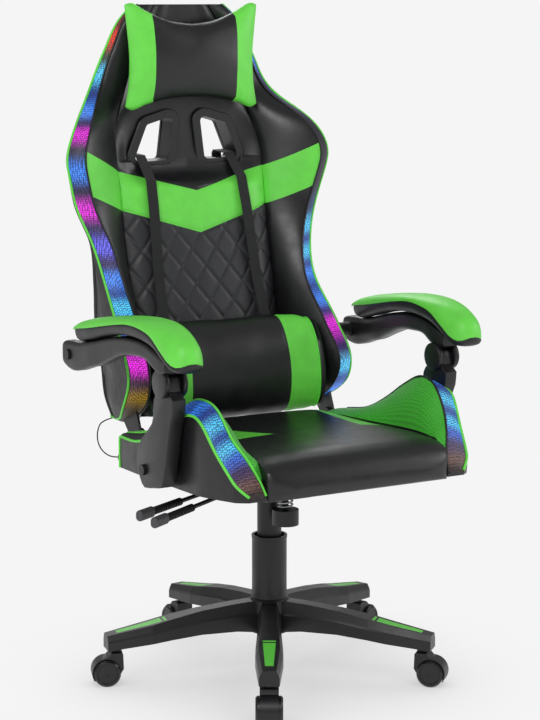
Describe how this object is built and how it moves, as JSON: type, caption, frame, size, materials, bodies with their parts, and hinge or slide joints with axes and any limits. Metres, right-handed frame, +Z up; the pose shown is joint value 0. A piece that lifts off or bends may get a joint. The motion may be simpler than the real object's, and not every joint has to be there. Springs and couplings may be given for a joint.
{
  "type": "gaming chair",
  "caption": "Racing-style office chair: reclining bucket back, bolstered seat, linked armrests, head and lumbar pillows, light bands, gas column, star base on castors.",
  "frame": {"origin": "on the floor under the column's axis", "axes": "+Z up, the sitter faces -Y, the sitter's right hand is on -X"},
  "size_m": [0.6734, 0.719, 1.256],
  "materials": {
    "black_nylon": "satin",
    "black_plastic": "matte",
    "green_plastic": "satin",
    "grey_plastic": "matte",
    "black_steel": "satin",
    "steel": "satin",
    "plywood": "matte",
    "charcoal_foam": "satin",
    "black_foam": "satin",
    "green_foam": "satin",
    "light_mesh": "matte",
    "black_leather": "satin",
    "black_web": "matte",
    "cable_rubber": "matte",
    "black_rubber": "matte"
  },
  "bodies": {
    "base": {"base": "black_nylon", "leg_inserts": "green_plastic", "column_cover": "black_plastic", "standing_tube": "black_steel", "column_bearings": "grey_plastic"},
    "column_rod": {"gas_rod": "steel"},
    "mechanism": {"pressure_cylinder": "steel", "mechanism_housing": "black_steel", "tension_spring": "steel"},
    "tension": {"tension_knob": "black_plastic"},
    "lift_lever": {"lift_lever_rod": "black_steel", "lift_lever_sleeve": "black_rubber", "lift_lever_grip": "grey_plastic"},
    "tilt_lever": {"tilt_lever_rod": "black_steel", "tilt_lever_sleeve": "black_rubber", "tilt_lever_grip": "grey_plastic"},
    "seat": {"seat_plate": "black_steel", "seat_pan": "plywood", "seat_cushion": "charcoal_foam", "seat_bolster_left": "black_foam", "seat_bolster_right": "black_foam", "seat_light_left": "light_mesh", "seat_light_right": "light_mesh", "hinge_plates": "black_steel", "hinge_pins": "steel", "post_mounts": "black_steel", "cable_plug": "black_plastic"},
    "backrest": {"hinge_arms": "black_steel", "back_frame": "black_steel", "back_cushion": "charcoal_foam", "back_bolster_left": "black_foam", "back_bolster_right": "black_foam", "back_light_left": "light_mesh", "back_light_right": "light_mesh", "back_shell": "black_leather", "harness_bezels": "black_plastic", "head_pillow": "black_foam", "lumbar_pillow": "black_foam", "pillow_straps": "black_web", "arm_brackets": "black_steel", "tail_bolts": "steel", "led_cable": "cable_rubber"},
    "post_left": {"arm_post_left": "black_nylon"},
    "arm_left": {"arm_beam_left": "black_nylon", "arm_pad_base_left": "black_plastic", "arm_pad_top_left": "green_foam"},
    "post_right": {"arm_post_right": "black_nylon"},
    "arm_right": {"arm_beam_right": "black_nylon", "arm_pad_base_right": "black_plastic", "arm_pad_top_right": "green_foam"},
    "castor_1": {"castor_1_housing": "black_plastic"},
    "castor_1_roll": {"castor_1_wheels": "black_nylon"},
    "castor_2": {"castor_2_housing": "black_plastic"},
    "castor_2_roll": {"castor_2_wheels": "black_nylon"},
    "castor_3": {"castor_3_housing": "black_plastic"},
    "castor_3_roll": {"castor_3_wheels": "black_nylon"},
    "castor_4": {"castor_4_housing": "black_plastic"},
    "castor_4_roll": {"castor_4_wheels": "black_nylon"},
    "castor_5": {"castor_5_housing": "black_plastic"},
    "castor_5_roll": {"castor_5_wheels": "black_nylon"}
  },
  "joints": [
    {"name": "column_swivel", "type": "hinge", "parent": "base", "child": "column_rod", "pos_m": [0, 0, 0], "axis": [0, 0, 1], "continuous": true},
    {"name": "gas_lift", "type": "slide", "parent": "column_rod", "child": "mechanism", "axis": [0, 0, 1], "range_m": [0, 0.08]},
    {"name": "tension_turn", "type": "hinge", "parent": "mechanism", "child": "tension", "pos_m": [0, -0.06, 0], "axis": [0, 0, 1], "continuous": true},
    {"name": "lift_lever_pull", "type": "hinge", "parent": "mechanism", "child": "lift_lever", "pos_m": [-0.036, 0.028, 0.361], "axis": [0, 1, 0], "range_deg": [0, 6], "stiffness_Nm_per_rad": 6, "springref_deg": -8.59},
    {"name": "tilt_lever_pull", "type": "hinge", "parent": "mechanism", "child": "tilt_lever", "pos_m": [-0.036, -0.014, 0.361], "axis": [0, 1, 0], "range_deg": [0, 6], "stiffness_Nm_per_rad": 6, "springref_deg": -8.59},
    {"name": "seat_tilt", "type": "hinge", "parent": "mechanism", "child": "seat", "pos_m": [0, -0.078, 0.379], "axis": [-1, 0, 0], "range_deg": [0, 8], "stiffness_Nm_per_rad": 400, "springref_deg": -14.32},
    {"name": "recline", "type": "hinge", "parent": "seat", "child": "backrest", "pos_m": [0, 0.128, 0.447], "axis": [-1, 0, 0], "range_deg": [0, 30], "deforming": ["led_cable"]},
    {"name": "post_left_swing", "type": "hinge", "parent": "seat", "child": "post_left", "pos_m": [0.285, -0.069, 0.434], "axis": [-1, 0, 0], "range_deg": [0, 26]},
    {"name": "arm_left_swing", "type": "hinge", "parent": "backrest", "child": "arm_left", "pos_m": [0.31, 0.192, 0.607], "axis": [-1, 0, 0], "range_deg": [-18.5, 0]},
    {"name": "post_right_swing", "type": "hinge", "parent": "seat", "child": "post_right", "pos_m": [-0.285, -0.069, 0.434], "axis": [-1, 0, 0], "range_deg": [0, 26]},
    {"name": "arm_right_swing", "type": "hinge", "parent": "backrest", "child": "arm_right", "pos_m": [-0.31, 0.192, 0.607], "axis": [-1, 0, 0], "range_deg": [-18.5, 0]},
    {"name": "castor_1_swivel", "type": "hinge", "parent": "base", "child": "castor_1", "pos_m": [0.27315, 0.12161, 0], "axis": [0, 0, 1], "continuous": true},
    {"name": "castor_1_spin", "type": "hinge", "parent": "castor_1", "child": "castor_1_roll", "pos_m": [0.29142, 0.12975, 0.025], "axis": [-0.4067, 0.9135, 0], "continuous": true},
    {"name": "castor_2_swivel", "type": "hinge", "parent": "base", "child": "castor_2", "pos_m": [-0.03125, 0.29736, 0], "axis": [0, 0, 1], "continuous": true},
    {"name": "castor_2_spin", "type": "hinge", "parent": "castor_2", "child": "castor_2_roll", "pos_m": [-0.03195, 0.31735, 0.025], "axis": [-0.9994, -0.0349, 0], "continuous": true},
    {"name": "castor_3_swivel", "type": "hinge", "parent": "base", "child": "castor_3", "pos_m": [-0.29247, 0.06217, 0], "axis": [0, 0, 1], "continuous": true},
    {"name": "castor_3_spin", "type": "hinge", "parent": "castor_3", "child": "castor_3_roll", "pos_m": [-0.31126, 0.06901, 0.025], "axis": [-0.342, -0.9397, 0], "continuous": true},
    {"name": "castor_4_swivel", "type": "hinge", "parent": "base", "child": "castor_4", "pos_m": [-0.1495, -0.25894, 0], "axis": [0, 0, 1], "continuous": true},
    {"name": "castor_4_spin", "type": "hinge", "parent": "castor_4", "child": "castor_4_roll", "pos_m": [-0.1595, -0.27626, 0.025], "axis": [0.866, -0.5, 0], "continuous": true},
    {"name": "castor_5_swivel", "type": "hinge", "parent": "base", "child": "castor_5", "pos_m": [0.20007, -0.2222, 0], "axis": [0, 0, 1], "continuous": true},
    {"name": "castor_5_spin", "type": "hinge", "parent": "castor_5", "child": "castor_5_roll", "pos_m": [0.21371, -0.23683, 0.025], "axis": [0.7314, 0.682, 0], "continuous": true}
  ],
  "couplings": [
    {"joint": "post_left_swing", "follows": "recline", "ratio": 0.8433},
    {"joint": "arm_left_swing", "follows": "recline", "ratio": -0.5973},
    {"joint": "post_right_swing", "follows": "recline", "ratio": 0.8433},
    {"joint": "arm_right_swing", "follows": "recline", "ratio": -0.5973}
  ]
}
